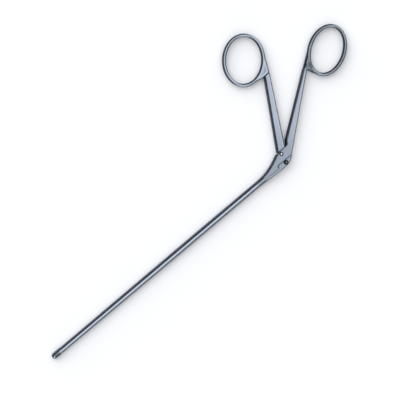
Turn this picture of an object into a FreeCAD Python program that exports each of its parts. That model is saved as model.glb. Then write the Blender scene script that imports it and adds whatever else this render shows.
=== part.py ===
import FreeCAD, Part
import math
import os
import re
import Sketcher

# Alligator cup forceps, lying flat. The plan of the instrument is the XY plane: +X runs along the
# shaft to the cups, +Y away from the handles, and +Z up. The origin is on the handles' pivot, on the
# flat face of the joint block that the instrument lies on.

SIZES = {
    # joint block
    "block_thickness": 5.0,
    "slot_width": 1.8,
    "slot_back": 3.9,
    "slot_front": 2.9,
    "cheek_edge": 1.75,
    "crotch_back": 4.9,
    "crotch_drop": 3.8,
    "crotch_run": 2.66,
    "nose_gap": 0.13,
    "nose_run": 0.45,
    "nose_drop": 0.28,
    "block_slope": 24.0,
    "step_back": 7.4,
    "edge_radius": 1.0,
    "flank_radius": 2.0,
    "block_lift": 0.04,
    "block_bend_radius": 40.0,
    # clearances
    "slide_gap": 0.05,
    "pin_gap": 0.04,
    "braze_gap": 0.02,
    "stop_gap": 0.1,
    # shaft
    "shaft_axis": 5.4,
    "shaft_radius": 2.12,
    "tip_radius": 1.9,
    "taper_start": 95.0,
    "split_rise": 1.0,
    "swell_start": 24.6,
    "swell_end": 19.0,
    "swell_radius": 2.46,
    "swell_slope": 20.4,
    "key_width": 0.9,
    "key_foot": 1.4,
    "key_depth": 0.5,
    "key_rise": 1.0,
    "key_margin": 2.0,
    "spigot_radius": 0.85,
    "spigot_length": 9.0,
    "spigot_drop": 0.55,
    "tip_spigot_length": 3.0,
    # slide head
    "head_back": 4.9,
    "head_front": 6.8,
    "head_floor": 4.7,
    "head_heel": 5.1,
    "head_bend_back": 2.6,
    "head_bend_top": 7.1,
    "head_crown_front": 1.5,
    "head_crown_top": 8.35,
    "head_brow_front": 7.0,
    "head_brow_top": 8.3,
    "head_bend_radius": 7.5,
    "head_recess_radius": 1.6,
    "head_recess_depth": 0.5,
    # moving handle's lever
    "pivot_radius": 0.95,
    "pivot_head_radius": 1.2,
    "pivot_head_depth": 0.6,
    "driver_slot_width": 0.35,
    "driver_slot_depth": 0.3,
    "drive_forward": 1.2,
    "drive_rise": 6.3,
    "drive_radius": 0.8,
    "drive_sunk": 0.25,
    "jaw_pin_sunk": 0.06,
    "lever_end": 1.3,
    "lever_back": 3.2,
    "lever_front": 1.6,
    "handle_turn": 13.5,
    # handle shanks
    "handle_thickness": 4.6,
    "rear_angle": 39.6,
    "rear_length": 57.0,
    "rear_setback": 0.2,
    "rear_width_ring": 3.25,
    "front_corner": 2.32,
    "front_angle": 30.56,
    "front_length": 50.1,
    "front_width_ring": 4.6,
    "front_crease": 2.5,
    # finger rings
    "ring_height": 4.6,
    "ring_rounding": 1.1,
    "band_end": 2.35,
    "band_side": 2.9,
    "front_ring_long": 15.3,
    "front_ring_short": 11.4,
    "front_ring_tilt": 11.6,
    "front_ring_reach": 13.63,
    "front_ring_side": 10.86,
    "front_ring_foot_near": 208.0,
    "front_ring_foot_far": 288.0,
    "rear_ring_long": 15.2,
    "rear_ring_short": 9.9,
    "rear_ring_tilt": 7.3,
    "rear_ring_reach": 14.39,
    "rear_ring_side": 10.58,
    "rear_ring_foot_near": 163.0,
    "rear_ring_foot_far": 94.0,
    # cup jaws
    "tip_end": 201.0,
    "jaw_radius": 2.05,
    "seam_rise": 0.1,
    "cup_wall": 0.5,
    "cup_back": 6.4,
    "hinge_back": 8.8,
    "hinge_drop": 0.55,
    "hinge_radius": 0.45,
    "link_arm": 1.5,
    "link_lean": 30.0,
    "link_radius": 0.35,
    "arm_thickness": 0.9,
    "fork_thickness": 1.1,
    "fork_wall": 0.38,
    "knuckle_gap": 0.1,
    "knuckle_lean": 30.0,
    "hinge_boss": 0.8,
    "link_boss": 0.6,
    "arm_foot": 0.56,
    "arm_waist": 0.72,
    "jaw_block_length": 5.0,
    "nose_lead": 1.15,
    "fork_back": 0.75,
    "fork_relief": 0.2,
    "fork_toe": 0.45,
    "fork_heel": 1.2,
}

os.makedirs("parts", exist_ok=True)
doc = FreeCAD.newDocument("cup_forceps")
sheet = doc.addObject("Spreadsheet::Sheet", "sizes")
for row, (alias, size) in enumerate(SIZES.items(), 1):
    sheet.set(f"A{row}", alias)
    sheet.set(f"B{row}", str(size))
    sheet.setAlias(f"B{row}", alias)
doc.recompute()

NODES = []

# How close, in millimetres, two spots lie that count as one
NEAR = 1e-4
# A length that reaches past the whole of the joint block and the shaft, for cuts that go right through
REACH = "(4 * block_thickness)"
# How much of a wall its rounding may take
WALL_SHARE = 0.9


def formula(text):
    """The text with each size's name pointing at its cell."""
    return re.sub(r"[a-z_]+", lambda word: f"sizes.{word[0]}" if word[0] in SIZES else word[0], str(text))


def value(text):
    return float(sheet.evalExpression(formula(text)))


def bind(item, place, text):
    item.setExpression(place, formula(text))


def sketch(body, name, role="XY_Plane", lift="0"):
    item = body.newObject("Sketcher::SketchObject", name)
    plane = next(feature for feature in body.Origin.OriginFeatures if feature.Role == role)
    item.AttachmentSupport = (plane, "")
    item.MapMode = "FlatFace"
    bind(item, "AttachmentOffset.Base.z", lift)
    return item


def hold_point(item, edge, end, across, up):
    """Ties one point of a sketch to two formulas, measured from the sketch's origin."""
    for kind, text in (("DistanceX", across), ("DistanceY", up)):
        number = item.addConstraint(Sketcher.Constraint(kind, -1, 1, edge, end, value(text)))
        bind(item, f"Constraints[{number}]", text)


def polygon(item, corners):
    spots = [FreeCAD.Vector(value(across), value(up), 0) for across, up in corners]
    first = item.GeometryCount
    for start, stop in zip(spots, spots[1:] + spots[:1]):
        item.addGeometry(Part.LineSegment(start, stop), False)
    for step in range(len(corners)):
        after = first + (step + 1) % len(corners)
        item.addConstraint(Sketcher.Constraint("Coincident", first + step, 2, after, 1))
    for step, (across, up) in enumerate(corners):
        hold_point(item, first + step, 1, across, up)


def box_outline(item, left, right, low, high):
    polygon(item, [(left, low), (right, low), (right, high), (left, high)])


def circle(item, across, up, radius):
    centre = FreeCAD.Vector(value(across), value(up), 0)
    edge = item.addGeometry(Part.Circle(centre, FreeCAD.Vector(0, 0, 1), value(radius)), False)
    hold_point(item, edge, 3, across, up)
    number = item.addConstraint(Sketcher.Constraint("Radius", edge, value(radius)))
    bind(item, f"Constraints[{number}]", radius)


def ellipse(item, across, up, long, short, tilt):
    """An ellipse whose long axis is turned by tilt degrees, clockwise, from the sketch's X axis."""
    centre = FreeCAD.Vector(value(across), value(up), 0)
    turn = FreeCAD.Rotation(FreeCAD.Vector(0, 0, 1), -value(tilt))
    far = centre + turn.multVec(FreeCAD.Vector(value(long), 0, 0))
    side = centre + turn.multVec(FreeCAD.Vector(0, value(short), 0))
    edge = item.addGeometry(Part.Ellipse(far, side, centre), False)
    item.exposeInternalGeometry(edge)
    hold_point(item, edge, 3, across, up)
    for line, text in ((edge + 1, f"2 * ({long})"), (edge + 2, f"2 * ({short})")):
        number = item.addConstraint(Sketcher.Constraint("Distance", line, value(text)))
        bind(item, f"Constraints[{number}]", text)
    number = item.addConstraint(Sketcher.Constraint("Angle", edge + 1, -turn.Angle))
    bind(item, f"Constraints[{number}]", f"-({tilt}) * 1 deg")


def body(name):
    item = doc.addObject("PartDesign::Body", name)
    item.Label = name
    return item


def add(part, kind, item, length, side="Symmetric"):
    """A Pad or a Pocket of a sketch. A Pocket that cuts nothing is an error."""
    doc.recompute()
    before = part.Shape.Volume if part.Tip else 0.0
    feature = part.newObject(f"PartDesign::{kind}", f"{item.Name}_{kind.lower()}")
    feature.Profile = item
    feature.SideType = side
    bind(feature, "Length", length)
    doc.recompute()
    if kind == "Pocket" and feature.Shape.Volume >= before - NEAR:
        raise RuntimeError(f"{feature.Name} cuts nothing")
    return feature


def pad(part, item, length, side="Symmetric"):
    return add(part, "Pad", item, length, side)


def pocket(part, item, length, side="Symmetric"):
    return add(part, "Pocket", item, length, side)


def pocket_up(part, item, length):
    """A Pocket that runs along its sketch's normal instead of against it."""
    feature = part.newObject("PartDesign::Pocket", f"{item.Name}_pocket")
    feature.Profile = item
    feature.Reversed = True
    bind(feature, "Length", length)
    return feature


def pocket_both(part, item, length):
    """A Pocket that runs to both sides of its sketch."""
    feature = part.newObject("PartDesign::Pocket", f"{item.Name}_pocket")
    feature.Profile = item
    feature.SideType = "Symmetric"
    bind(feature, "Length", length)
    return feature


def turned(part, kind, item):
    """A Revolution or a Groove of a sketch about the sketch's own construction line."""
    feature = part.newObject(f"PartDesign::{kind}", f"{item.Name}_{kind.lower()}")
    feature.Profile = item
    feature.ReferenceAxis = (item, ["Axis0"])
    feature.Angle = 360
    return feature


def axis_line(item, left, right, height):
    edge = item.addGeometry(Part.LineSegment(
        FreeCAD.Vector(value(left), value(height), 0), FreeCAD.Vector(value(right), value(height), 0)), True)
    hold_point(item, edge, 1, left, height)
    hold_point(item, edge, 2, right, height)


def round_off(part, name, radius, wanted):
    """Rounds the edges of the body's last feature that the test picks."""
    doc.recompute()
    base = part.Tip
    names = [f"Edge{number}" for number, edge in enumerate(base.Shape.Edges, 1) if wanted(edge)]
    if not names:
        raise RuntimeError(f"{name} finds no edge")
    feature = part.newObject("PartDesign::Fillet", name)
    feature.Base = (base, names)
    bind(feature, "Radius", radius)
    doc.recompute()
    return feature


def on_side(start, stop):
    """Picks the level edges that lie over the straight line from start to stop in the plan."""
    left, right = [FreeCAD.Vector(value(across), value(up), 0) for across, up in (start, stop)]
    along = (right - left).normalize()

    def wanted(edge):
        ends = [vertex.Point for vertex in edge.Vertexes]
        if len(ends) < 2 or abs(ends[0].z - ends[1].z) > NEAR or abs(ends[0].z) < NEAR:
            return False
        flat = [FreeCAD.Vector(end.x, end.y, 0) - left for end in ends]
        return all((spot - along * spot.dot(along)).Length < NEAR for spot in flat)
    return wanted


def on_any(*tests):
    return lambda edge: any(test(edge) for test in tests)


def upright_at(corner):
    """Picks the upright edge over one corner of the plan."""
    spot = FreeCAD.Vector(value(corner[0]), value(corner[1]), 0)

    def wanted(edge):
        ends = [vertex.Point for vertex in edge.Vertexes]
        return len(ends) == 2 and all(abs(end.x - spot.x) + abs(end.y - spot.y) < NEAR for end in ends)
    return wanted


def finish(item, lift="block_thickness / 2"):
    """Puts a piece, drawn about its own middle plane, at its height and takes it as a node."""
    bind(item, "Placement.Base.z", lift)
    NODES.append(item)
    return item


# The split between the shaft's two halves, and the underside of the sliding half.
SPLIT = "shaft_axis + split_rise"
SLIDE_FLOOR = f"{SPLIT} + slide_gap"
BLOCK_FLOOR = "shaft_axis - shaft_radius + block_lift"
BAR_START = "swell_start"
FLANK = f"min(flank_radius; {WALL_SHARE} * handle_thickness / 2)"
JAW_START = "tip_end - cup_back - jaw_block_length - tip_spigot_length"

# Both handles' outlines are measured along and across their straight outer sides.


def rear_spot(along, across):
    """A spot measured along the fixed handle's outer side, and across it towards the other handle."""
    return (f"-(head_back + rear_setback) - ({along}) * cos(rear_angle) + ({across}) * sin(rear_angle)",
            f"head_floor - slide_gap - ({along}) * sin(rear_angle) - ({across}) * cos(rear_angle)")


def front_spot(along, across):
    """A spot measured along the moving handle's outer side, and across it towards the other handle."""
    return (f"front_corner - ({along}) * sin(front_angle) - ({across}) * cos(front_angle)",
            f"{FRONT_TOP} - ({along}) * cos(front_angle) + ({across}) * sin(front_angle)")


SHOULDER = "-(cheek_edge + stop_gap)"
FRONT_TOP = f"({SHOULDER} - front_corner * tan(handle_turn))"
# The block's nose begins where the open handle's corner comes to, and a gap further
NOSE = f"(front_corner / cos(handle_turn) - {SHOULDER} * sin(handle_turn) + nose_gap)"


def shaft_profile(item, left, right):
    """Half of the round shaft's long section."""
    polygon(item, [(left, "shaft_axis"), (left, "shaft_axis + shaft_radius"),
                   ("taper_start", "shaft_axis + shaft_radius"), (right, "shaft_axis + tip_radius"),
                   (right, "shaft_axis")])
    axis_line(item, left, right, "shaft_axis")


def fade_to_shaft(part, name):
    """Turns the flat block down to the round shaft where it reaches the shaft."""
    item = sketch(part, name)
    rear = "step_back"
    polygon(item, [
        (rear, f"shaft_axis + swell_radius + (swell_end - {rear}) * tan(swell_slope)"),
        ("swell_end", "shaft_axis + swell_radius"),
        ("swell_start", "shaft_axis + shaft_radius"),
        ("swell_start + block_thickness", "shaft_axis + shaft_radius"),
        ("swell_start + block_thickness", f"shaft_axis + {REACH}"),
        (rear, f"shaft_axis + {REACH}"),
    ])
    axis_line(item, rear, "swell_start + block_thickness", "shaft_axis")
    turned(part, "Groove", item)


def key_outline(item, top, gap):
    """The dovetail under the sliding half, or its groove where gap is the running clearance."""
    foot = f"{SPLIT} - key_depth + slide_gap - ({gap})"
    polygon(item, [(top, f"key_width / 2 + ({gap})"), (foot, f"key_foot / 2 + ({gap})"),
                   (foot, f"-key_foot / 2 - ({gap})"), (top, f"-key_width / 2 - ({gap})")])


# Fixed handle with the joint block
rear_handle = body("rear_handle")
rear_outer = [rear_spot("0", "0"), rear_spot("rear_length", "0")]
crotch = ("-crotch_back", "-cheek_edge")
crotch_bend = ("-crotch_back - crotch_run", "-cheek_edge - crotch_drop")
rear_inner_end = rear_spot("rear_length", "rear_width_ring")
nose = [(NOSE, "-cheek_edge"), (f"{NOSE} + nose_run", "-cheek_edge - nose_drop")]
slope_end = (f"{NOSE} + nose_run + ({BLOCK_FLOOR} + cheek_edge + nose_drop) / tan(block_slope)", BLOCK_FLOOR)
outline = sketch(rear_handle, "block_outline")
polygon(outline, [rear_outer[0], rear_outer[1], rear_inner_end, crotch_bend, crotch, *nose, slope_end,
                  (BAR_START, BLOCK_FLOOR), (BAR_START, SPLIT), ("step_back", SPLIT),
                  ("step_back", "head_floor - slide_gap")])
pad(rear_handle, outline, "block_thickness")
bend_room = f"({BAR_START} - ({slope_end[0]}) - stop_gap)"
round_off(rear_handle, "block_bend", f"min(block_bend_radius; {bend_room} / tan(block_slope / 2))",
          upright_at(slope_end))
round_off(rear_handle, "block_flanks", FLANK,
          on_any(on_side(crotch_bend, rear_inner_end), on_side(crotch, crotch_bend),
                 on_side(nose[1], slope_end)))
round_off(rear_handle, "block_rounding", "edge_radius", on_side(*rear_outer))
fade_to_shaft(rear_handle, "block_fade")
slot = sketch(rear_handle, "blade_slot")
box_outline(slot, "-slot_back", "slot_front", f"-{REACH}", REACH)
pocket(rear_handle, slot, "slot_width")
hole = sketch(rear_handle, "pivot_hole")
circle(hole, "0", "0", "pivot_radius + braze_gap")
pocket(rear_handle, hole, REACH)
seat = sketch(rear_handle, "pivot_head_seat", lift="block_thickness / 2")
circle(seat, "0", "0", "pivot_head_radius + pin_gap")
pocket(rear_handle, seat, "pivot_head_depth", "One side")
key = sketch(rear_handle, "block_key_way", "YZ_Plane", "step_back")
key_outline(key, f"{SPLIT} + key_rise", "slide_gap")
pocket_up(rear_handle, key, "swell_start")
socket = sketch(rear_handle, "spigot_socket", "YZ_Plane", f"{BAR_START} - spigot_length")
circle(socket, "shaft_axis - spigot_drop", "0", "spigot_radius + braze_gap")
pocket_up(rear_handle, socket, "spigot_length + block_thickness")
finish(rear_handle)

# Moving handle with the blade that runs through the block as a lever
front_handle = body("front_handle")
front_outer = [front_spot("0", "0"), front_spot("front_length", "0")]
front_inner = [("-crotch_back + stop_gap", SHOULDER),
               front_spot("front_length + front_crease", "front_width_ring")]
shank = sketch(front_handle, "shank_outline")
polygon(shank, [("0", SHOULDER), front_outer[0], front_outer[1], front_inner[1], front_inner[0]])
pad(front_handle, shank, "handle_thickness")
round_off(front_handle, "shank_flank", FLANK, on_side(*front_outer))
round_off(front_handle, "shank_rounding", "edge_radius", on_side(*front_inner))
blade = sketch(front_handle, "blade_outline")
polygon(blade, [
    ("-lever_back", f"{SHOULDER} - edge_radius"),
    ("lever_front", f"{FRONT_TOP} - edge_radius"),
    ("lever_front", "pivot_radius"),
    ("drive_forward + lever_end", "drive_rise - lever_end"),
    ("drive_forward + lever_end", "drive_rise"),
    ("drive_forward + lever_end / 2", "drive_rise + lever_end"),
    ("drive_forward - lever_end / 2", "drive_rise + lever_end"),
    ("drive_forward - lever_end", "drive_rise"),
    ("drive_forward - lever_end", "drive_rise - lever_end"),
    ("-lever_back", "pivot_radius"),
])
pad(front_handle, blade, "slot_width - 2 * slide_gap")
hole = sketch(front_handle, "blade_pivot_hole")
circle(hole, "0", "0", "pivot_radius + pin_gap")
pocket(front_handle, hole, REACH)
hole = sketch(front_handle, "drive_hole")
circle(hole, "drive_forward", "drive_rise", "drive_radius + braze_gap")
pocket(front_handle, hole, REACH)
finish(front_handle)


# The foot's edge inside the band: its number of steps, and how deep its ends and its middle lie, as
# shares of the band's width
FOOT_STEPS = 5
FOOT_INSET = 0.1
FOOT_DEPTH = 0.5


def finger_ring(name, corner, turn, side, far_corner):
    """A flattened oval band with its foot, drawn in the frame of its handle's end."""
    across = f"{side} * {name}_side"
    long, short, tilt = f"{name}_long", f"{name}_short", f"{name}_tilt"
    band = body(f"{name}_band")
    item = sketch(band, f"{name}_ovals")
    ellipse(item, f"{name}_reach", across, f"{long} + band_end", f"{short} + band_side", tilt)
    ellipse(item, f"{name}_reach", across, long, short, tilt)
    pad(band, item, "ring_height")
    round_off(band, f"{name}_rounding", "ring_rounding",
              lambda edge: edge.BoundBox.ZLength < NEAR and abs(edge.BoundBox.ZMax) > NEAR)

    def band_spot(angle, share):
        """A spot in the band: at share 0 on its outer side, at share 1 on its inner side."""
        reach = f"({long} + band_end * {1 - share}) * cos({angle})"
        rise = f"({short} + band_side * {1 - share}) * sin({angle})"
        return (f"{name}_reach + {reach} * cos({tilt}) + {rise} * sin({tilt})",
                f"{across} - {reach} * sin({tilt}) + {rise} * cos({tilt})")

    start, stop = f"{name}_foot_near", f"{name}_foot_far"
    near, far = band_spot(start, FOOT_INSET), band_spot(stop, FOOT_INSET)
    inside = [band_spot(f"({start} + ({stop} - {start}) * {step / FOOT_STEPS})", FOOT_DEPTH)
              for step in range(FOOT_STEPS + 1)]
    foot = body(f"{name}_foot")
    item = sketch(foot, f"{name}_foot_plan")
    polygon(item, [("0", "0"), near, *inside, far, far_corner])
    pad(foot, item, "min(handle_thickness; ring_height)")
    round_off(foot, f"{name}_foot_rounding", "edge_radius", on_side(far, far_corner))
    for part in (band, foot):
        bind(part, "Placement.Base.x", corner[0])
        bind(part, "Placement.Base.y", corner[1])
        bind(part, "Placement.Rotation.Angle", turn)
    whole = doc.addObject("Part::Fuse", name)
    whole.Label = name
    whole.Base, whole.Tool = band, foot
    finish(whole)


finger_ring("front_ring", front_outer[1], "270 - front_angle", "1", ("front_crease", "-front_width_ring"))
finger_ring("rear_ring", rear_outer[1], "180 + rear_angle", "-1", ("0", "rear_width_ring"))

# Fixed half of the shaft
fixed_bar = body("fixed_bar")
item = sketch(fixed_bar, "bar_profile")
shaft_profile(item, BAR_START, JAW_START)
turned(fixed_bar, "Revolution", item)
cap = sketch(fixed_bar, "bar_split", "YZ_Plane", "0")
box_outline(cap, SPLIT, f"{SPLIT} + {REACH}", f"-{REACH}", REACH)
pocket_up(fixed_bar, cap, "tip_end")
key = sketch(fixed_bar, "bar_key_way", "YZ_Plane", "0")
key_outline(key, f"{SPLIT} + key_rise", "slide_gap")
pocket_up(fixed_bar, key, "tip_end")
spigot = sketch(fixed_bar, "bar_spigot", "YZ_Plane", f"{BAR_START} - spigot_length")
circle(spigot, "shaft_axis - spigot_drop", "0", "spigot_radius")
pad(fixed_bar, spigot, "spigot_length + tip_spigot_length", "One side")
spigot = sketch(fixed_bar, "bar_tip_spigot", "YZ_Plane", f"{JAW_START} - tip_spigot_length")
circle(spigot, "shaft_axis - spigot_drop", "0", "spigot_radius")
pad(fixed_bar, spigot, "2 * tip_spigot_length", "One side")
finish(fixed_bar)

# Jaw hinge and link
HINGE = ("tip_end - hinge_back", "shaft_axis - hinge_drop")
LINK = (f"{HINGE[0]} + link_arm * sin(link_lean)", f"{HINGE[1]} + link_arm * cos(link_lean)")
SEAM = "shaft_axis + seam_rise"
CUP_REAR = "tip_end - cup_back"
TRAVEL = "2 * link_arm * sin(link_lean)"
LIFT = "link_arm * (1 - cos(link_lean))"
KNUCKLE = f"({CUP_REAR} - ({HINGE[0]}) - knuckle_gap)"
# The gap between the fork's prongs, which takes the jaw's arm, and the width over the prongs
ARM_GAP = "(arm_thickness + 2 * slide_gap)"
FORK = f"({ARM_GAP} + fork_thickness)"


def quarter(centre, radius, turn):
    """A quarter of a circle that starts after the given number of quarter turns."""
    whole = Part.Circle(centre, FreeCAD.Vector(0, 0, 1), radius)
    return Part.ArcOfCircle(whole, math.radians(90 * turn), math.radians(90 * (turn + 1)))


def capsule(item, left, radius, height, tip):
    """Half of a round bar with a ball end, as an outline above its axis."""
    first = item.GeometryCount
    ball = f"{tip} - ({radius})"
    spots = [(left, height), (left, f"{height} + {radius}"), (ball, f"{height} + {radius}"), (tip, height)]
    corner = [FreeCAD.Vector(value(across), value(up), 0) for across, up in spots]
    centre = FreeCAD.Vector(value(ball), value(height), 0)
    item.addGeometry(Part.LineSegment(corner[0], corner[1]), False)
    item.addGeometry(Part.LineSegment(corner[1], corner[2]), False)
    item.addGeometry(quarter(centre, value(radius), 0), False)
    item.addGeometry(Part.LineSegment(corner[3], corner[0]), False)
    item.addConstraint(Sketcher.Constraint("Coincident", first, 2, first + 1, 1))
    item.addConstraint(Sketcher.Constraint("Coincident", first + 1, 2, first + 2, 2))
    item.addConstraint(Sketcher.Constraint("Coincident", first + 2, 1, first + 3, 1))
    item.addConstraint(Sketcher.Constraint("Coincident", first + 3, 2, first, 1))
    hold_point(item, first, 1, *spots[0])
    hold_point(item, first + 1, 1, *spots[1])
    hold_point(item, first + 2, 3, ball, height)
    number = item.addConstraint(Sketcher.Constraint("Radius", first + 2, value(radius)))
    bind(item, f"Constraints[{number}]", radius)
    item.addConstraint(Sketcher.Constraint("Vertical", first + 2, 2, first + 2, 3))
    item.addConstraint(Sketcher.Constraint("Horizontal", first + 2, 1, first + 2, 3))
    axis_line(item, left, tip, height)


def cup_cavity(part, name):
    item = sketch(part, name)
    inner = "(jaw_radius - cup_wall)"
    capsule(item, f"{CUP_REAR} + cup_wall + {inner}", inner, SEAM, "tip_end - cup_wall")
    turned(part, "Groove", item)
    item = sketch(part, f"{name}_back")
    ball = f"{CUP_REAR} + cup_wall + {inner}"
    spots = [(ball, SEAM), (ball, f"{SEAM} + {inner}"), (f"{CUP_REAR} + cup_wall", SEAM)]
    corner = [FreeCAD.Vector(value(across), value(up), 0) for across, up in spots]
    item.addGeometry(Part.LineSegment(corner[0], corner[1]), False)
    item.addGeometry(quarter(corner[0], value(inner), 1), False)
    item.addGeometry(Part.LineSegment(corner[2], corner[0]), False)
    item.addConstraint(Sketcher.Constraint("Coincident", 0, 2, 1, 1))
    item.addConstraint(Sketcher.Constraint("Coincident", 1, 2, 2, 1))
    item.addConstraint(Sketcher.Constraint("Coincident", 2, 2, 0, 1))
    hold_point(item, 0, 1, *spots[0])
    item.addConstraint(Sketcher.Constraint("Coincident", 1, 3, 0, 1))
    number = item.addConstraint(Sketcher.Constraint("Radius", 1, value(inner)))
    bind(item, f"Constraints[{number}]", inner)
    item.addConstraint(Sketcher.Constraint("Vertical", 0))
    item.addConstraint(Sketcher.Constraint("Horizontal", 2))
    axis_line(item, f"{CUP_REAR}", "tip_end", SEAM)
    turned(part, "Groove", item)


def cut_above(part, name, height, left, right):
    item = sketch(part, name)
    box_outline(item, left, right, height, f"{height} + {REACH}")
    pocket(part, item, REACH)


def cut_below(part, name, height, left, right):
    item = sketch(part, name)
    box_outline(item, left, right, f"{height} - {REACH}", height)
    pocket(part, item, REACH)


# Fixed jaw: the cup, the knuckle cheeks and the socket for the bar
fixed_jaw = body("fixed_jaw")
item = sketch(fixed_jaw, "jaw_profile")
capsule(item, JAW_START, "jaw_radius", "shaft_axis", "tip_end")
turned(fixed_jaw, "Revolution", item)
item = sketch(fixed_jaw, "jaw_neck")
polygon(item, [(JAW_START, "shaft_axis + tip_radius"),
               (f"{CUP_REAR} - jaw_radius", "shaft_axis + tip_radius"),
               (f"{CUP_REAR}", "shaft_axis + jaw_radius"), (f"{CUP_REAR}", "shaft_axis + 2 * jaw_radius"),
               (JAW_START, "shaft_axis + 2 * jaw_radius")])
axis_line(item, JAW_START, CUP_REAR, "shaft_axis")
turned(fixed_jaw, "Groove", item)
cut_above(fixed_jaw, "jaw_split", SPLIT, JAW_START, "tip_end")
cut_above(fixed_jaw, "jaw_seam", SEAM, f"{HINGE[0]} + {KNUCKLE}", "tip_end")
cup_cavity(fixed_jaw, "fixed_cup")
item = sketch(fixed_jaw, "knuckle")
polygon(item, [(f"{HINGE[0]} + {KNUCKLE} * cos(knuckle_lean)", f"{SPLIT} + jaw_radius"),
               (f"{HINGE[0]} + {KNUCKLE} * cos(knuckle_lean)", SPLIT),
               (f"{HINGE[0]} + {KNUCKLE}", SEAM), (CUP_REAR, SEAM), (CUP_REAR, f"{SPLIT} + jaw_radius")])
pocket(fixed_jaw, item, REACH)
item = sketch(fixed_jaw, "jaw_slot")
box_outline(item, f"{HINGE[0]} - {TRAVEL} - hinge_boss", f"{CUP_REAR} + cup_wall / 2",
            f"{HINGE[1]} - hinge_boss - knuckle_gap", f"{SPLIT} + jaw_radius")
pocket(fixed_jaw, item, f"{FORK} + 2 * slide_gap")
key = sketch(fixed_jaw, "jaw_key_way", "YZ_Plane", f"{JAW_START} - key_margin")
key_outline(key, f"{SPLIT} + key_rise", "slide_gap")
pocket_up(fixed_jaw, key, "2 * key_margin")
hole = sketch(fixed_jaw, "hinge_hole")
circle(hole, *HINGE, "hinge_radius + braze_gap")
pocket(fixed_jaw, hole, REACH)
socket = sketch(fixed_jaw, "jaw_socket", "YZ_Plane", f"{JAW_START} - tip_spigot_length")
circle(socket, "shaft_axis - spigot_drop", "0", "spigot_radius + braze_gap")
pocket_up(fixed_jaw, socket, "2 * tip_spigot_length + braze_gap")
finish(fixed_jaw)

# Moving jaw: the cup and its arm
moving_jaw = body("moving_jaw")
item = sketch(moving_jaw, "moving_profile")
capsule(item, CUP_REAR, "jaw_radius", "shaft_axis", "tip_end")
turned(moving_jaw, "Revolution", item)
cut_below(moving_jaw, "moving_seam", f"{SEAM} + slide_gap", CUP_REAR, "tip_end")
cup_cavity(moving_jaw, "moving_cup")
item = sketch(moving_jaw, "arm_outline")
polygon(item, [(f"{HINGE[0]} - arm_foot", f"{HINGE[1]} - arm_foot"),
               (f"{HINGE[0]} + arm_foot", f"{HINGE[1]} - arm_foot"),
               (f"{CUP_REAR} + cup_wall / 2 - knuckle_gap", f"{SEAM} + slide_gap"),
               (f"{CUP_REAR} + cup_wall", f"{SEAM} + slide_gap"),
               (f"{CUP_REAR} + cup_wall", f"{LINK[1]} + link_boss"),
               (f"{LINK[0]} - link_boss", f"{LINK[1]} + link_boss"),
               (f"{LINK[0]} - arm_waist", f"{LINK[1]} - link_boss / 2"),
               (f"{HINGE[0]} - hinge_boss", f"{HINGE[1]}")])
pad(moving_jaw, item, "arm_thickness")
hole = sketch(moving_jaw, "arm_hinge_hole")
circle(hole, *HINGE, "hinge_radius + pin_gap")
pocket(moving_jaw, hole, REACH)
hole = sketch(moving_jaw, "arm_link_hole")
circle(hole, *LINK, "link_radius + braze_gap")
pocket(moving_jaw, hole, REACH)
finish(moving_jaw)

# Sliding half of the shaft, with its head and nose
slide_bar = body("slide_bar")
NOSE_END = f"{LINK[0]} + nose_lead"
head = sketch(slide_bar, "head_outline")
heel = ("-head_back", "head_heel")
bend = ("-head_bend_back", "head_bend_top")
crown = ("head_crown_front", "head_crown_top")
brow = ("head_brow_front", "head_brow_top")
head_end = ("swell_start", "shaft_axis + shaft_radius")
polygon(head, [("-head_back", "head_floor"), ("head_front", "head_floor"), ("head_front", SLIDE_FLOOR),
               ("swell_start", SLIDE_FLOOR), head_end, brow, crown, bend, heel])
pad(slide_bar, head, "block_thickness")
round_off(slide_bar, "head_bends", "head_bend_radius",
          on_any(upright_at(bend), upright_at(crown), upright_at(brow)))


def head_rim(edge):
    """Picks the level edges round the head's outer side, which bulges past the line between its ends."""
    middle = edge.valueAt((edge.FirstParameter + edge.LastParameter) / 2)
    slope = (value(head_end[1]) - value(heel[1])) / (value(head_end[0]) - value(heel[0]))
    chord = value(heel[1]) + slope * (middle.x - value(heel[0]))
    return edge.BoundBox.ZLength < NEAR and abs(middle.z) > NEAR and middle.y > chord + NEAR


round_off(slide_bar, "head_rounding",
          f"min(edge_radius; {WALL_SHARE} * ({head_end[1]} - ({SLIDE_FLOOR})))", head_rim)
fade_to_shaft(slide_bar, "head_fade")
item = sketch(slide_bar, "slide_profile")
shaft_profile(item, BAR_START, NOSE_END)
turned(slide_bar, "Revolution", item)
item = sketch(slide_bar, "slide_split", "YZ_Plane", BAR_START)
box_outline(item, f"{SLIDE_FLOOR} - {REACH}", SLIDE_FLOOR, f"-{REACH}", REACH)
pocket_up(slide_bar, item, "tip_end")
item = sketch(slide_bar, "slide_key", "YZ_Plane", "swell_end")
key_outline(item, f"{SLIDE_FLOOR} + slide_gap", "0")
pad(slide_bar, item, f"({JAW_START} - swell_end - {TRAVEL})", "One side")
item = sketch(slide_bar, "head_slot")
box_outline(item, "drive_forward - 2 * lever_end", "drive_forward + 2 * lever_end", "0", REACH)
pocket(slide_bar, item, "slot_width")
item = sketch(slide_bar, "head_recess_top", lift="block_thickness / 2")
circle(item, "drive_forward", "drive_rise", "head_recess_radius")
pocket(slide_bar, item, "head_recess_depth", "One side")
item = sketch(slide_bar, "head_recess_foot", lift="-block_thickness / 2")
circle(item, "drive_forward", "drive_rise", "head_recess_radius")
pocket_up(slide_bar, item, "head_recess_depth")
DRIVE_ARM = "sqrt(drive_forward * drive_forward + drive_rise * drive_rise)"


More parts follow.
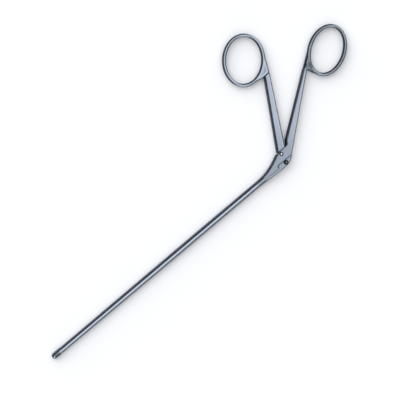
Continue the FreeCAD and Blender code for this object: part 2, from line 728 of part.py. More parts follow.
def slotted_hole(part, name, across, low, high, radius, depth):
    """A hole that is long enough for a pin to move between two heights."""
    for suffix, up in (("low", low), ("high", high)):
        item = sketch(part, f"{name}_{suffix}")
        circle(item, across, up, radius)
        if suffix == "low" or value(high) - value(low) > NEAR:
            pocket_both(part, item, depth)
    item = sketch(part, f"{name}_middle")
    box_outline(item, f"{across} - ({radius})", f"{across} + ({radius})", low, high)
    pocket_both(part, item, depth)


slotted_hole(slide_bar, "drive_slot", "drive_forward", "drive_rise", DRIVE_ARM, "drive_radius + pin_gap",
             REACH)
item = sketch(slide_bar, "prong_outline")
polygon(item, [(f"{LINK[0]} - fork_back", f"{LINK[1]} - link_radius - fork_wall"),
               (f"{LINK[0]} + fork_toe", f"{LINK[1]} - link_radius - fork_wall"),
               (f"{LINK[0]} + fork_back", f"{LINK[1]} - link_radius"),
               (f"{LINK[0]} + fork_back", f"{SLIDE_FLOOR} + slide_gap"),
               (f"{LINK[0]} - fork_heel", f"{SLIDE_FLOOR} + slide_gap"),
               (f"{LINK[0]} - fork_heel", SLIDE_FLOOR)])
pad(slide_bar, item, FORK)
item = sketch(slide_bar, "fork_gap")
box_outline(item, f"{LINK[0]} - fork_back - fork_relief", f"{NOSE_END} + jaw_radius",
            "shaft_axis - jaw_radius", "shaft_axis + 2 * jaw_radius")
pocket(slide_bar, item, ARM_GAP)
slotted_hole(slide_bar, "link_slot", LINK[0], LINK[1], f"{LINK[1]} + {LIFT}", "link_radius + pin_gap",
             f"{FORK} + 2 * slide_gap")
finish(slide_bar)


def pin(name, spot, radius, low, high):
    """A round pin that stands upright between two heights over the resting plane."""
    item = doc.addObject("Part::Cylinder", name)
    item.Label = name
    bind(item, "Radius", radius)
    bind(item, "Height", f"({high}) - ({low})")
    bind(item, "Placement.Base.x", spot[0])
    bind(item, "Placement.Base.y", spot[1])
    return finish(item, low)


MIDDLE = "block_thickness / 2"
pin("drive_pin", ("drive_forward", "drive_rise"), "drive_radius",
    "drive_sunk", "block_thickness - drive_sunk")
pin("jaw_pivot_pin", HINGE, "hinge_radius", f"{MIDDLE} - tip_radius + jaw_pin_sunk",
    f"{MIDDLE} + tip_radius - jaw_pin_sunk")
pin("jaw_link_pin", LINK, "link_radius", f"{MIDDLE} - {FORK} / 2", f"{MIDDLE} + {FORK} / 2")

# Pivot screw: a shank, a sunk round head and the driver's slot
pivot_screw = body("pivot_screw")
item = sketch(pivot_screw, "screw_shank")
circle(item, "0", "0", "pivot_radius")
pad(pivot_screw, item, "block_thickness")
item = sketch(pivot_screw, "screw_head", lift="block_thickness / 2 - pivot_head_depth")
circle(item, "0", "0", "pivot_head_radius")
pad(pivot_screw, item, "pivot_head_depth", "One side")
item = sketch(pivot_screw, "screw_driver_slot", lift="block_thickness / 2")
box_outline(item, "-2 * pivot_head_radius", "2 * pivot_head_radius",
            "-driver_slot_width / 2", "driver_slot_width / 2")
pocket(pivot_screw, item, "driver_slot_depth", "One side")
finish(pivot_screw)

doc.recompute()
for item in doc.Objects:
    if "Invalid" in item.State or "Error" in item.State:
        raise RuntimeError(f"{item.Name} is {item.State}")
for item in NODES:
    if item.Shape.isNull() or not item.Shape.isValid():
        raise RuntimeError(f"{item.Label} has no valid shape")
for item in NODES:
    item.Shape.exportStep(f"parts/{item.Label}.step")
    print(item.Label, len(item.Shape.Solids), "solid,", round(item.Shape.Volume, 2), "cubic millimetres")
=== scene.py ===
"""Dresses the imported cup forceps: their steel, their forged finger rings, and the studio round them."""

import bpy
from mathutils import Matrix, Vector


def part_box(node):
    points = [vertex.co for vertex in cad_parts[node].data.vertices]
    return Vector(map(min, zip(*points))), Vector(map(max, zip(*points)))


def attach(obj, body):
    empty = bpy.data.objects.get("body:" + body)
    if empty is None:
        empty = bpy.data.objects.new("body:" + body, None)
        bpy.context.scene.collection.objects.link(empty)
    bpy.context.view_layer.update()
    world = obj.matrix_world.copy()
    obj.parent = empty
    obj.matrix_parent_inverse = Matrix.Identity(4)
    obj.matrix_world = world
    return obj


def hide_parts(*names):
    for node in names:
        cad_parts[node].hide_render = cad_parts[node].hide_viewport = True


bl_info = {
    "name": "Cup Forceps",
    "version": (1, 0, 0),
    "blender": (4, 5, 0),
    "location": "View3D > Sidebar > Forceps",
    "description": "Finishes a pair of long cup forceps and sets up their studio",
    "category": "Add Mesh",
}

import math

import bmesh
import bpy
from mathutils import Matrix, Vector

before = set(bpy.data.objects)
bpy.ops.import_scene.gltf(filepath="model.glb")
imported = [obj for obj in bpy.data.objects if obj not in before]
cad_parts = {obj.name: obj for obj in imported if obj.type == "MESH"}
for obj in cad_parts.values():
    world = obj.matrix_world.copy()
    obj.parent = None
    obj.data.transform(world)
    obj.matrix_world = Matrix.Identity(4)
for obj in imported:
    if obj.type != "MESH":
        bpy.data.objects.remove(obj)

MM = 0.001
# The shaft runs along X, and the photographer's upper left is the side of -Y.
IMAGE_RIGHT = Vector((-0.7643, 0.6449, 0))
IMAGE_UP = Vector((-0.6449, -0.7643, 0))
FLAT_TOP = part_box("rear_handle")[1].z
MIDDLE = FLAT_TOP / 2
# The studio's open side; the other side is screened off dark
LIT_SIDE = (-0.506, 0.862, 0)
# A stretch that makes a mark reach through the whole height
FLAT = 1e6
# An edge that rises less than this is level
LEVEL = 0.01 * MM


class ForcepsSizes(bpy.types.PropertyGroup):
    """The sizes of the forged finger rings."""

    ring_height: bpy.props.FloatProperty(
        name="Ring height", description="Height of a finger ring's band", default=4.6 * MM,
        min=2 * MM, max=8 * MM, subtype="DISTANCE", unit="LENGTH")
    ring_crown: bpy.props.FloatProperty(
        name="Ring crown", description="How far a band's rims are rounded", default=1.15 * MM,
        min=0.1 * MM, max=2 * MM, subtype="DISTANCE", unit="LENGTH")
    forging: bpy.props.FloatProperty(
        name="Forging grain", description="Grain at which a ring is blended into its foot", default=0.2 * MM,
        min=0.15 * MM, max=1 * MM, subtype="DISTANCE", unit="LENGTH")
    blending: bpy.props.IntProperty(
        name="Blending", description="How often a ring's forged surface is smoothed", default=60,
        min=0, max=120)


class ForcepsFinish(bpy.types.PropertyGroup):
    """The colours and the polish of the steel, and the studio's light."""

    satin_colour: bpy.props.FloatVectorProperty(
        name="Satin steel", description="Colour of the joint and of the rings", subtype="COLOR", size=3,
        default=(0.315, 0.365, 0.44), min=0, max=1)
    bright_colour: bpy.props.FloatVectorProperty(
        name="Bright steel", description="Colour of the shaft and of the shanks", subtype="COLOR", size=3,
        default=(0.40, 0.455, 0.545), min=0, max=1)
    polished_colour: bpy.props.FloatVectorProperty(
        name="Polished steel", description="Colour of the pins", subtype="COLOR", size=3,
        default=(0.60, 0.66, 0.74), min=0, max=1)
    satin_roughness: bpy.props.FloatProperty(
        name="Satin roughness", description="Roughness of the joint and the fixed shank", default=0.34,
        min=0, max=1)
    bright_roughness: bpy.props.FloatProperty(
        name="Bright roughness", description="Roughness of the shaft, the moving shank and the rings",
        default=0.25, min=0, max=1)
    polished_roughness: bpy.props.FloatProperty(
        name="Polish roughness", description="Roughness of the pins", default=0.18, min=0, max=1)
    grain_depth: bpy.props.FloatProperty(
        name="Grain depth", description="Strength of the brushed grain", default=0.12, min=0, max=1)
    sky_level: bpy.props.FloatProperty(
        name="Sky level", description="Level of the studio's overhead light", default=0.85, min=0, max=4)


def setting():
    return bpy.context.scene.forceps_sizes, bpy.context.scene.forceps_finish


def deselect_all():
    if bpy.context.mode != "OBJECT":
        bpy.ops.object.mode_set(mode="OBJECT")
    bpy.ops.object.select_all(action="DESELECT")


def settle(piece, name):
    """Gives a finished piece its name and puts its place into its mesh."""
    deselect_all()
    piece.name = name
    piece.data.name = name
    piece.select_set(True)
    bpy.context.view_layer.objects.active = piece
    bpy.ops.object.transform_apply(location=True, rotation=True, scale=True)
    return piece


def apply_modifier(piece, kind, name, **values):
    modifier = piece.modifiers.new(name, kind)
    for key, value in values.items():
        setattr(modifier, key, value)
    deselect_all()
    piece.select_set(True)
    bpy.context.view_layer.objects.active = piece
    bpy.ops.object.modifier_apply(modifier=modifier.name)


def pick(piece, wanted):
    """Selects, in edit mode, the edges whose middle and direction the test accepts."""
    bpy.ops.mesh.select_all(action="DESELECT")
    bpy.ops.mesh.select_mode(type="EDGE")
    mesh = bmesh.from_edit_mesh(piece.data)
    for edge in mesh.edges:
        start, end = (vert.co for vert in edge.verts)
        edge.select = wanted((start + end) / 2, end - start)
    mesh.select_flush_mode()
    bmesh.update_edit_mesh(piece.data)


# Steel

# The brushed grain, drawn out along its run, and the coarser clouds under it
GRAIN_STRETCH = (150, 4200, 4200)
GRAIN_NOISE = {"Scale": 1, "Detail": 4}
CLOUD_NOISE = {"Scale": 420, "Detail": 5, "Roughness": 0.6}
# The levels of noise that give the two ends of a tone, and how far the ends are from its middle
NOISE_ENDS = (0.3, 0.7)
TINT, GLOSS_SPREAD = 0.06, 0.15
# The depth of the brushed grain
RELIEF = 0.02 * MM
# Painted shade on flanks: a face is a flank while its normal rises less than the first, and that fades out
# over the second
FLANK_RISE, FLANK_SOFT = 0.45, 0.45
# The near-black colour of the painted shade on flanks and in the marks
SHADE_COLOUR = (0.012, 0.014, 0.018, 1)
# How softly the ends of a seam fade
SEAM_END = 0.3 * MM


def plug(links, socket, value):
    """Feeds an input from a socket, or sets it to a value."""
    if isinstance(value, bpy.types.NodeSocket):
        links.new(value, socket)
    else:
        socket.default_value = value


def math_node(nodes, links, operation, *values):
    """A Math node of sockets or numbers, as its output socket."""
    node = nodes.new("ShaderNodeMath")
    node.operation = operation
    for number, value in enumerate(values):
        plug(links, node.inputs[number], value)
    return node.outputs[0]


def mix_node(nodes, links, kind, factor, first, second, blend="MIX"):
    """A Mix node of two sockets or values, as its output socket."""
    node = nodes.new("ShaderNodeMix")
    node.data_type = kind
    node.blend_type = blend
    for name, value in (("Factor", factor), ("A", first), ("B", second)):
        plug(links, node.inputs[name], value)
    return node.outputs["Result"]


def range_node(nodes, links, value, source, target, interpolation="LINEAR"):
    """A value of the source range, brought into the target range."""
    node = nodes.new("ShaderNodeMapRange")
    node.interpolation_type = interpolation
    node.inputs["From Min"].default_value, node.inputs["From Max"].default_value = source
    node.inputs["To Min"].default_value, node.inputs["To Max"].default_value = target
    links.new(value, node.inputs["Value"])
    return node.outputs["Result"]


def fall(nodes, links, distance, edge, soft):
    """One up to the edge, and softly down to none past it."""
    return range_node(nodes, links, distance, (edge, edge + soft), (1, 0), "SMOOTHSTEP")


def noise_node(nodes, links, place, **values):
    """A noise over a place, as its output socket."""
    node = nodes.new("ShaderNodeTexNoise")
    for key, value in values.items():
        node.inputs[key].default_value = value
    links.new(place, node.inputs["Vector"])
    return node.outputs["Fac"]


def shift(nodes, links, place, kind, **values):
    """A place that is moved, turned or stretched, as its output socket."""
    node = nodes.new("ShaderNodeMapping")
    node.vector_type = kind
    for key, value in values.items():
        node.inputs[key].default_value = value
    links.new(place, node.inputs["Vector"])
    return node.outputs["Vector"]


def split(nodes, links, place):
    """The three parts of a place or direction, as output sockets."""
    node = nodes.new("ShaderNodeSeparateXYZ")
    links.new(place, node.inputs["Vector"])
    return node.outputs


def along_node(nodes, links, place, direction):
    """How far a place or direction lies along a fixed direction."""
    node = nodes.new("ShaderNodeVectorMath")
    node.operation = "DOT_PRODUCT"
    node.inputs[1].default_value = direction
    links.new(place, node.inputs[0])
    return node.outputs["Value"]


def line_mark(nodes, links, place, start, end, width):
    """A straight seam in the plan, in millimetres, as a mask."""
    start, end = Vector(start), Vector(end)
    run = end - start
    middle = (start + end) / 2 * MM
    sides = split(nodes, links, shift(nodes, links, place, "TEXTURE", Location=(middle.x, middle.y, 0),
                                      Rotation=(0, 0, math.atan2(run.y, run.x))))
    off_line = math_node(nodes, links, "ABSOLUTE", sides["Y"])
    off_middle = math_node(nodes, links, "ABSOLUTE", sides["X"])
    across = fall(nodes, links, off_line, width * MM / 4, width * MM / 2)
    along = fall(nodes, links, off_middle, run.length * MM / 2, SEAM_END)
    return math_node(nodes, links, "MULTIPLY", across, along)


def distance_from(nodes, links, place, centre):
    """How far a place lies from a spot of the plan that is given in millimetres."""
    offset = shift(nodes, links, place, "TEXTURE", Location=(centre[0] * MM, centre[1] * MM, 0),
                   Scale=(1, 1, FLAT))
    length = nodes.new("ShaderNodeVectorMath")
    length.operation = "LENGTH"
    links.new(offset, length.inputs[0])
    return length.outputs["Value"]


def ring_mark(nodes, links, place, centre, radius, width):
    """A ring round a spot of the plan, in millimetres, as a mask."""
    past = math_node(nodes, links, "SUBTRACT", distance_from(nodes, links, place, centre), radius * MM)
    return fall(nodes, links, math_node(nodes, links, "ABSOLUTE", past), width * MM / 4, width * MM / 2)


def spot_mark(nodes, links, place, centre, radius, soft):
    """A round spot of the plan, in millimetres, as a mask."""
    return fall(nodes, links, distance_from(nodes, links, place, centre), radius * MM, soft * MM)


MARK_KINDS = {"line": line_mark, "ring": ring_mark, "spot": spot_mark}

# The run of the brushed grain, in degrees from the shaft
SHAFT_RUN, REAR_RUN, FRONT_RUN, PIN_RUN = 0.0, 39.6, 59.44, 90.0

# Painted shade in the seams and gaps between parts and round the rims of pins, and darker spots: lines by
# their ends and width, rings by their centre, radius and width, spots by their centre, radius and soft rim,
# and last how dark each is
# Painted shade in the gaps round the slide's head, along the slide, at the handle's shoulder and in the
# crotch between the handles
HEAD_GAP_SHADE = ("line", (-5.1, 4.68), (6.9, 4.68), 0.55, 1.0)
SLIDE_GAP_SHADE = ("line", (7.0, 6.42), (32.0, 6.42), 0.35, 0.75)
SHOULDER_GAP_SHADE = ("line", (-5.2, -1.85), (3.2, -1.85), 0.65, 1.0)
CROTCH_SHADE = ("line", (-5.2, -2.6), (-9.6, -8.0), 2.2, 1.0)
# Painted shade round the pivot screw's head and in the drive pin's recess
SCREW_RIM_SHADE = ("ring", (0, 0), 1.25, 0.4, 0.9)
RECESS_SHADE = ("spot", (1.2, 6.3), 1.5, 0.3, 0.97)
# Painted shade along the moving cup and in the fork at its root
CUP_SHADE = ("line", (195.4, 6.45), (199.0, 6.15), 1.7, 0.8)
FORK_SHADE = ("spot", (194.4, 6.7), 0.5, 0.6, 0.7)
MARKS = {
    "rear_handle": (HEAD_GAP_SHADE, SLIDE_GAP_SHADE, SHOULDER_GAP_SHADE, CROTCH_SHADE, SCREW_RIM_SHADE, RECESS_SHADE),
    "slide_bar": (HEAD_GAP_SHADE, SLIDE_GAP_SHADE, RECESS_SHADE, FORK_SHADE),
    "front_handle": (SHOULDER_GAP_SHADE,),
    # Painted shade over most of the drive pin's top, so that only its -X side stays light as a highlight
    "drive_pin": (("spot", (1.85, 6.5), 0.65, 0.25, 0.95),),
    "moving_jaw": (CUP_SHADE, FORK_SHADE),
    # The jaw's pivot pin is darkened over a spot 2 mm round it
    "jaw_pivot_pin": (("spot", (192.2, 4.85), 2.0, 0.1, 0.8),),
    # Painted shade in the web between the rear ring and its shank, where a concave recess would be shaded
    "rear_ring": (("spot", (-51.6, -32.2), 0.8, 2.6, 0.5),),
}


def steel(node, colour, roughness, along, streak=0.5, flank=0.08, other=None):
    """Brushed steel for a node, its fine grain running along one direction of the plan. Its flanks are
    painted darker, as shade, and its marks paint shade into its seams, gaps and pin rims and darken some
    spots. The other finish is a colour, the direction in which it is reached, and where that starts and ends."""
    material = bpy.data.materials.new(f"{node}_steel")
    material.use_nodes = True
    nodes, links = material.node_tree.nodes, material.node_tree.links
    shader = nodes["Principled BSDF"]
    shader.inputs["Metallic"].default_value = 1.0
    place = nodes.new("ShaderNodeTexCoord").outputs["Object"]
    turned = shift(nodes, links, place, "POINT", Rotation=(0, 0, -math.radians(along)))
    stretched = shift(nodes, links, turned, "POINT", Scale=GRAIN_STRETCH)
    grain = noise_node(nodes, links, stretched, **GRAIN_NOISE)
    cloud = noise_node(nodes, links, turned, **CLOUD_NOISE)
    brushed = mix_node(nodes, links, "FLOAT", streak, cloud, grain)
    shade = nodes.new("ShaderNodeValToRGB")
    low, high = shade.color_ramp.elements
    low.position, high.position = NOISE_ENDS
    low.color = (*[part * (1 - TINT) for part in colour], 1)
    high.color = (*[min(1, part * (1 + TINT)) for part in colour], 1)
    links.new(brushed, shade.inputs["Fac"])
    colour_out = shade.outputs["Color"]
    if other:
        second, heading, start, end = other
        heading = math.radians(heading)
        reach = along_node(nodes, links, place, (math.cos(heading), math.sin(heading), 0))
        near = fall(nodes, links, reach, start * MM, (end - start) * MM)
        change = (*[new / old for old, new in zip(colour, second)], 1)
        tone = mix_node(nodes, links, "RGBA", near, change, (1, 1, 1, 1))
        colour_out = mix_node(nodes, links, "RGBA", 1, colour_out, tone, "MULTIPLY")

    # Painted shade: faces that rise little, the flanks, are darkened towards the shade colour
    upright = split(nodes, links, nodes.new("ShaderNodeNewGeometry").outputs["Normal"])["Z"]
    level = math_node(nodes, links, "ABSOLUTE", upright)
    side = fall(nodes, links, level, FLANK_RISE, FLANK_SOFT)
    painted_shade_and_dark_marks = math_node(nodes, links, "MULTIPLY", side, 1 - flank)
    # Painted shade from the marks, in seams, gaps and round pins, and darker spots
    for kind, *where, strength in MARKS.get(node, ()):
        mask = MARK_KINDS[kind](nodes, links, place, *where)
        dark = math_node(nodes, links, "MULTIPLY", mask, strength)
        painted_shade_and_dark_marks = math_node(nodes, links, "MAXIMUM", painted_shade_and_dark_marks, dark)
    links.new(mix_node(nodes, links, "RGBA", painted_shade_and_dark_marks, colour_out, SHADE_COLOUR), shader.inputs["Base Color"])

    spread = (roughness * (1 - GLOSS_SPREAD), roughness * (1 + GLOSS_SPREAD))
    links.new(range_node(nodes, links, brushed, NOISE_ENDS, spread), shader.inputs["Roughness"])
    relief = nodes.new("ShaderNodeBump")
    relief.inputs["Strength"].default_value = bpy.context.scene.forceps_finish.grain_depth
    relief.inputs["Distance"].default_value = RELIEF
    links.new(brushed, relief.inputs["Height"])
    links.new(relief.outputs["Normal"], shader.inputs["Normal"])
    return material


def dress(piece, material):
    piece.data.materials.clear()
    piece.data.materials.append(material)


class ForcepsSteel(bpy.types.Operator):
    """Gives every machined piece its own brushed steel"""

    bl_idname = "forceps.steel"
    bl_label = "Finish the machined pieces"

    def execute(self, context):
        finish = context.scene.forceps_finish
        satin, bright = tuple(finish.satin_colour), tuple(finish.bright_colour)
        satin_rough, bright_rough = finish.satin_roughness, finish.bright_roughness
        plans = {
            "rear_handle": (satin, satin_rough, REAR_RUN, (bright, 180 + REAR_RUN, 2.0, 22.0)),
            "front_handle": (satin, bright_rough, FRONT_RUN, (bright, 180 + FRONT_RUN, 2.0, 26.0)),
            "slide_bar": (satin, satin_rough, SHAFT_RUN, (bright, SHAFT_RUN, 8.0, 30.0)),
        }
        for node in ("fixed_bar", "fixed_jaw", "moving_jaw", "jaw_pivot_pin", "jaw_link_pin"):
            plans[node] = (bright, bright_rough, SHAFT_RUN, None)
        for node, (colour, roughness, along, other) in plans.items():
            dress(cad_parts[node], steel(node, colour, roughness, along, other=other))
        return {"FINISHED"}


# Pins

PINS = {
    "pivot_screw": {"body": "frame", "spot": (0.0, 0.0), "radius": 1.1, "crown": 0.8, "slot": "pin_steel"},
    "drive_pin": {"body": "handle", "spot": (1.2, 6.3), "radius": 0.8, "crown": 0.7, "slot": "pin_steel"},
}


class ForcepsPins(bpy.types.Operator):
    """Turns the joint's screw and its drive pin, with domed ends"""

    bl_idname = "forceps.pins"
    bl_label = "Turn the joint's pins"

    def execute(self, context):
        finish = context.scene.forceps_finish
        for node, plan in PINS.items():
            low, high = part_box(node)
            depth = high.z - low.z
            deselect_all()
            bpy.ops.mesh.primitive_cylinder_add(
                vertices=48, radius=plan["radius"] * MM, depth=depth,
                location=(plan["spot"][0] * MM, plan["spot"][1] * MM, (low.z + high.z) / 2))
            pin = bpy.context.object
            bpy.ops.object.mode_set(mode="EDIT")
            pick(pin, lambda middle, along: abs(along.z) < LEVEL and abs(middle.z) > 0.4 * depth)
            bpy.ops.mesh.bevel(offset=plan["crown"] * MM, offset_type="OFFSET", segments=8, profile=0.5,
                               affect="EDGES")
            bpy.ops.object.mode_set(mode="OBJECT")
            pin = settle(pin, f"{node}_turned")
            bpy.ops.object.shade_smooth()
            dress(pin, steel(node, tuple(finish.polished_colour), finish.polished_roughness, PIN_RUN))
            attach(pin, plan["body"])
            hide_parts(node)
        return {"FINISHED"}


# A dark block as painted shade in the joint between the slide's head and the step of the block, where the
# floor would show through the gap

JOINT_LOW, JOINT_HIGH = (6.86, 4.78, 0.6), (7.34, 6.3, 4.3)
# The colour and roughness of the dark block, which is painted shade
JOINT_SHADE_COLOUR, JOINT_SHADE_ROUGHNESS = (0.02, 0.022, 0.027), 0.6


class ForcepsJointShade(bpy.types.Operator):
    """Fills the sliding joint behind the slide's head with a dark block that stands in for its shade, carried
    by the block
    """

    bl_idname = "forceps.joint"
    bl_label = "Fill the sliding joint's shade"

    def execute(self, context):
        deselect_all()
        low, high = Vector(JOINT_LOW) * MM, Vector(JOINT_HIGH) * MM
        bpy.ops.mesh.primitive_cube_add(size=1, location=(low + high) / 2)
        shadow_block = bpy.context.object
        shadow_block.scale = high - low
        shadow_block = settle(shadow_block, "joint_shadow_block")
        apply_modifier(shadow_block, "BEVEL", "rounding", width=0.08 * MM, segments=2)
        dress(shadow_block, steel("joint_shadow_block", JOINT_SHADE_COLOUR, JOINT_SHADE_ROUGHNESS, SHAFT_RUN))
        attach(shadow_block, "frame")
        return {"FINISHED"}


# Finger rings

# The corners are where a foot meets its shank, the ends where it meets the band, in degrees round it,
# and the pull is how far each side of the foot is drawn in between
RINGS = {
    "front_ring": {
        "body": "handle", "tone": 1.0, "run": FRONT_RUN, "centre": (-20.731, -62.806), "axis": 47.84,
        "inner": (15.3, 11.4), "outer": (17.65, 14.3), "corners": [(-23.153, -45.548), (-28.385, -45.362)],
        "ends": (28.0, 108.0), "web": 4.4, "crown": 1.15, "pull": (0.4, 0.1),
    },
    "rear_ring": {
        "body": "frame", "tone": 0.7, "run": REAR_RUN, "centre": (-66.851, -32.704), "axis": 32.3,
        "inner": (15.2, 9.9), "outer": (17.55, 12.8), "corners": [(-48.3, -31.05), (-46.3, -33.5)],
        "ends": (5.0, -98.0), "web": 4.56, "crown": 1.8, "pull": (-0.6, -0.25),
    },
}
# How much of a ring's brushed streak shows, and the level its flanks keep under their painted shade
RING_STREAK, RING_FLANK = 0.25, 0.3
# How deep the ends and the middle of a foot reach into the band, and the steps of that middle
END_DEPTH, MIDDLE_DEPTH, FOOT_STEPS = 0.2, 0.5, 6


def oval_band(sizes, plan):
    """A flattened oval band with rounded rims, from a circle that is extruded outwards and upwards."""
    deselect_all()
    bpy.ops.mesh.primitive_circle_add(vertices=128, radius=MM, fill_type="NOTHING", location=(0, 0, 0))
    band = bpy.context.object
    bpy.ops.object.mode_set(mode="EDIT")
    (long, short), (wide_long, wide_short) = plan["inner"], plan["outer"]
    bpy.ops.transform.resize(value=(long, short, 1))
    bpy.ops.mesh.extrude_edges_move()
    bpy.ops.transform.resize(value=(wide_long / long, wide_short / short, 1))
    bpy.ops.mesh.select_all(action="SELECT")
    bpy.ops.mesh.extrude_region_move(TRANSFORM_OT_translate={"value": (0, 0, sizes.ring_height)})
    bpy.ops.mesh.select_all(action="SELECT")
    bpy.ops.mesh.normals_make_consistent(inside=False)

    def rim(middle, along):
        """Accepts a level edge that runs along the band and not across it."""
        tangent = abs(along.x * middle.x / wide_long ** 2 + along.y * middle.y / wide_short ** 2)
        level = abs(along.z) < LEVEL and abs(middle.z - sizes.ring_height / 2) > sizes.ring_height / 4
        return level and tangent < 0.25 * along.length * middle.length / wide_long ** 2

    pick(band, rim)
    bpy.ops.mesh.bevel(offset=sizes.ring_crown, offset_type="OFFSET", segments=4, profile=0.5, affect="EDGES")
    bpy.ops.object.mode_set(mode="OBJECT")
    band.rotation_euler = (0, 0, math.radians(plan["axis"]))
    band.location = (plan["centre"][0] * MM, plan["centre"][1] * MM, MIDDLE - sizes.ring_height / 2)
    return settle(band, "band")


def band_spot(plan, angle, share):
    """A place in the band: at share 0 on its outer side, at share 1 on its inner side."""
    (long, short), (wide_long, wide_short) = plan["inner"], plan["outer"]
    across = (wide_long + (long - wide_long) * share) * math.cos(math.radians(angle))
    up = (wide_short + (short - wide_short) * share) * math.sin(math.radians(angle))
    turn = math.radians(plan["axis"])
    return Vector((plan["centre"][0] + across * math.cos(turn) - up * math.sin(turn),
                   plan["centre"][1] + across * math.sin(turn) + up * math.cos(turn)))


def ring_foot(plan):
    """The forged web between a band and its shank, from a flat outline with rounded rims."""
    near, far = plan["ends"]
    first, last = [Vector(corner) for corner in plan["corners"]]
    heart = (first + last + band_spot(plan, (near + far) / 2, 0)) / 3
    waists = []
    for corner, end, pull in ((first, near, plan["pull"][0]), (last, far, plan["pull"][1])):
        middle = (corner + band_spot(plan, end, 0)) / 2
        waists.append(middle + (heart - middle).normalized() * pull)
    outline = [(first, "VECTOR"), (waists[0], "AUTO"), (band_spot(plan, near, END_DEPTH), "VECTOR")]
    for step in range(FOOT_STEPS + 1):
        angle = near + (far - near) * step / FOOT_STEPS
        outline.append((band_spot(plan, angle, MIDDLE_DEPTH), "VECTOR"))
    outline += [(band_spot(plan, far, END_DEPTH), "VECTOR"), (waists[1], "AUTO"), (last, "VECTOR")]
    deselect_all()
    bpy.ops.curve.primitive_bezier_circle_add(radius=MM, location=(0, 0, 0))
    foot = bpy.context.object
    foot.data.splines.clear()
    spline = foot.data.splines.new("BEZIER")
    spline.bezier_points.add(len(outline) - 1)
    spline.use_cyclic_u = True
    for point, (spot, kind) in zip(spline.bezier_points, outline):
        point.co = (spot.x * MM, spot.y * MM, 0)
        point.handle_left_type = point.handle_right_type = kind
    foot.data.dimensions = "2D"
    foot.data.fill_mode = "BOTH"
    foot.data.resolution_u = 8
    foot.data.bevel_depth = plan["crown"] * MM
    foot.data.bevel_resolution = 3
    foot.data.offset = -plan["crown"] * MM
    foot.data.extrude = (plan["web"] / 2 - plan["crown"]) * MM
    foot.location = (0, 0, MIDDLE)
    bpy.ops.object.convert(target="MESH")
    return settle(bpy.context.object, "foot")


class ForcepsRings(bpy.types.Operator):
    """Forges each finger ring and its foot in one piece"""

    bl_idname = "forceps.rings"
    bl_label = "Forge the finger rings"

    def execute(self, context):
        sizes, finish = setting()
        for node, plan in RINGS.items():
            band, foot = oval_band(sizes, plan), ring_foot(plan)
            deselect_all()
            foot.select_set(True)
            band.select_set(True)
            context.view_layer.objects.active = band
            bpy.ops.object.join()
            apply_modifier(band, "REMESH", "forging", mode="VOXEL", voxel_size=sizes.forging,
                           use_smooth_shade=True)
            apply_modifier(band, "SMOOTH", "blending", factor=0.5, iterations=sizes.blending)
            ring = settle(band, f"{node}_forged")
            bpy.ops.object.shade_smooth()
            colour = [part * plan["tone"] for part in finish.satin_colour]
            dress(ring, steel(node, colour, finish.bright_roughness, plan["run"], RING_STREAK, RING_FLANK))
            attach(ring, plan["body"])
            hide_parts(node)
        return {"FINISHED"}


# Studio

# The floor lies a hair under the instrument
FLOOR_SIZE, FLOOR_PLACE = 8, (0.06, 0, -0.02 * MM)
FLOOR_COLOUR = (0.71, 0.723, 0.752, 1)
# How much of the floor is plain white to the eye and in reflections
FLOOR_GLOW = 0.12
# The sky from the screened side to the open side: each stop with its level
SKY_START, SKY_END = (0.10, 0.10, 0.115, 1), (0.08, 0.08, 0.09, 1)
SKY_STOPS = ((0.18, 0.05), (0.32, 0.03), (0.42, 0.2), (0.50, 0.86), (0.58, 1.5), (0.69, 1.35), (0.78, 0.7),
             (0.88, 0.25), (0.94, 0.1))
SKY_STRENGTH = 1.5
SUN_ENERGY, SUN_ANGLE, SUN_FROM = 3.7, 80, (0.1, -1.0, 0.75)
# The middle of the view on the floor, its width, and the camera's height
VIEW_MIDDLE, VIEW_WIDTH, VIEW_HEIGHT = (60.2 * MM, -11.2 * MM), 262 * MM, 1.6


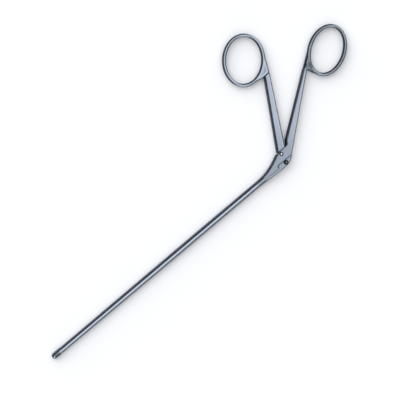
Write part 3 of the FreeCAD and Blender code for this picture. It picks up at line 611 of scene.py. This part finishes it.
class ForcepsStage(bpy.types.Operator):
    """Lays the forceps on a pale floor under soft light, with the camera straight above"""

    bl_idname = "forceps.stage"
    bl_label = "Set up the studio"

    def execute(self, context):
        self.floor()
        self.light(context.scene.forceps_finish)
        self.camera()
        context.scene.view_settings.view_transform = "Standard"
        return {"FINISHED"}

    def floor(self):
        deselect_all()
        bpy.ops.mesh.primitive_plane_add(size=FLOOR_SIZE, location=FLOOR_PLACE)
        floor = bpy.context.object
        floor.name = "floor"
        material = bpy.data.materials.new("pale_floor")
        material.use_nodes = True
        nodes, links = material.node_tree.nodes, material.node_tree.links
        nodes.remove(nodes["Principled BSDF"])
        matt = nodes.new("ShaderNodeBsdfDiffuse")
        matt.inputs["Color"].default_value = FLOOR_COLOUR
        white = nodes.new("ShaderNodeEmission")
        white.inputs["Color"].default_value = (1, 1, 1, 1)
        rays = nodes.new("ShaderNodeLightPath").outputs
        seen = math_node(nodes, links, "MAXIMUM", rays["Is Camera Ray"], rays["Is Glossy Ray"])
        seen = math_node(nodes, links, "MAXIMUM", seen, rays["Is Transmission Ray"])
        mix = nodes.new("ShaderNodeMixShader")
        links.new(math_node(nodes, links, "MULTIPLY", seen, FLOOR_GLOW), mix.inputs["Fac"])
        links.new(matt.outputs["BSDF"], mix.inputs[1])
        links.new(white.outputs["Emission"], mix.inputs[2])
        links.new(mix.outputs["Shader"], nodes["Material Output"].inputs["Surface"])
        dress(floor, material)

    def light(self, finish):
        world = bpy.data.worlds.new("studio")
        bpy.context.scene.world = world
        world.use_nodes = True
        nodes, links = world.node_tree.nodes, world.node_tree.links
        lean = along_node(nodes, links, nodes.new("ShaderNodeTexCoord").outputs["Generated"], LIT_SIDE)
        ramp = nodes.new("ShaderNodeValToRGB")
        links.new(range_node(nodes, links, lean, (-1, 1), (0, 1)), ramp.inputs["Fac"])
        stops = ramp.color_ramp.elements
        stops[0].position, stops[0].color = 0.0, SKY_START
        stops[1].position, stops[1].color = 1.0, SKY_END
        for position, level in SKY_STOPS:
            stops.new(position).color = (level, level, level, 1)
        background = nodes["Background"]
        background.inputs["Strength"].default_value = SKY_STRENGTH * finish.sky_level
        links.new(ramp.outputs["Color"], background.inputs["Color"])
        sun = bpy.data.lights.new("soft_key", "SUN")
        sun.energy = SUN_ENERGY
        sun.angle = math.radians(SUN_ANGLE)
        key = bpy.data.objects.new("soft_key", sun)
        key.rotation_euler = Vector(SUN_FROM).to_track_quat("Z", "Y").to_euler()
        key.visible_glossy = False
        bpy.context.scene.collection.objects.link(key)

    def camera(self):
        lens = bpy.data.cameras.new("camera")
        lens.sensor_width = 36
        lens.lens = lens.sensor_width * (VIEW_HEIGHT - FLAT_TOP) / VIEW_WIDTH
        lens.clip_end = 20
        eye = bpy.data.objects.new("camera", lens)
        eye.location = (*VIEW_MIDDLE, VIEW_HEIGHT)
        eye.rotation_euler = Matrix((IMAGE_RIGHT, IMAGE_UP, (0, 0, 1))).transposed().to_euler()
        bpy.context.scene.collection.objects.link(eye)
        bpy.context.scene.camera = eye


class ForcepsPanel(bpy.types.Panel):
    """Lists the sizes, the finishes and the steps"""

    bl_idname = "VIEW3D_PT_forceps"
    bl_label = "Cup forceps"
    bl_space_type = "VIEW_3D"
    bl_region_type = "UI"
    bl_category = "Forceps"

    def draw(self, context):
        for group in setting():
            box = self.layout.box()
            for name in group.bl_rna.properties.keys():
                if name not in ("rna_type", "name"):
                    box.prop(group, name)
        for step in STEPS:
            self.layout.operator(step.bl_idname)


STEPS = (ForcepsSteel, ForcepsPins, ForcepsJointShade, ForcepsRings, ForcepsStage)
CLASSES = (ForcepsSizes, ForcepsFinish, *STEPS, ForcepsPanel)


def register():
    for each in CLASSES:
        bpy.utils.register_class(each)
    bpy.types.Scene.forceps_sizes = bpy.props.PointerProperty(type=ForcepsSizes)
    bpy.types.Scene.forceps_finish = bpy.props.PointerProperty(type=ForcepsFinish)


def unregister():
    del bpy.types.Scene.forceps_finish
    del bpy.types.Scene.forceps_sizes
    for each in reversed(CLASSES):
        bpy.utils.unregister_class(each)


def main():
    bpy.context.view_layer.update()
    register()
    bpy.ops.forceps.steel()
    bpy.ops.forceps.pins()
    bpy.ops.forceps.joint()
    bpy.ops.forceps.rings()
    bpy.ops.forceps.stage()


if __name__ == "__main__":
    main()
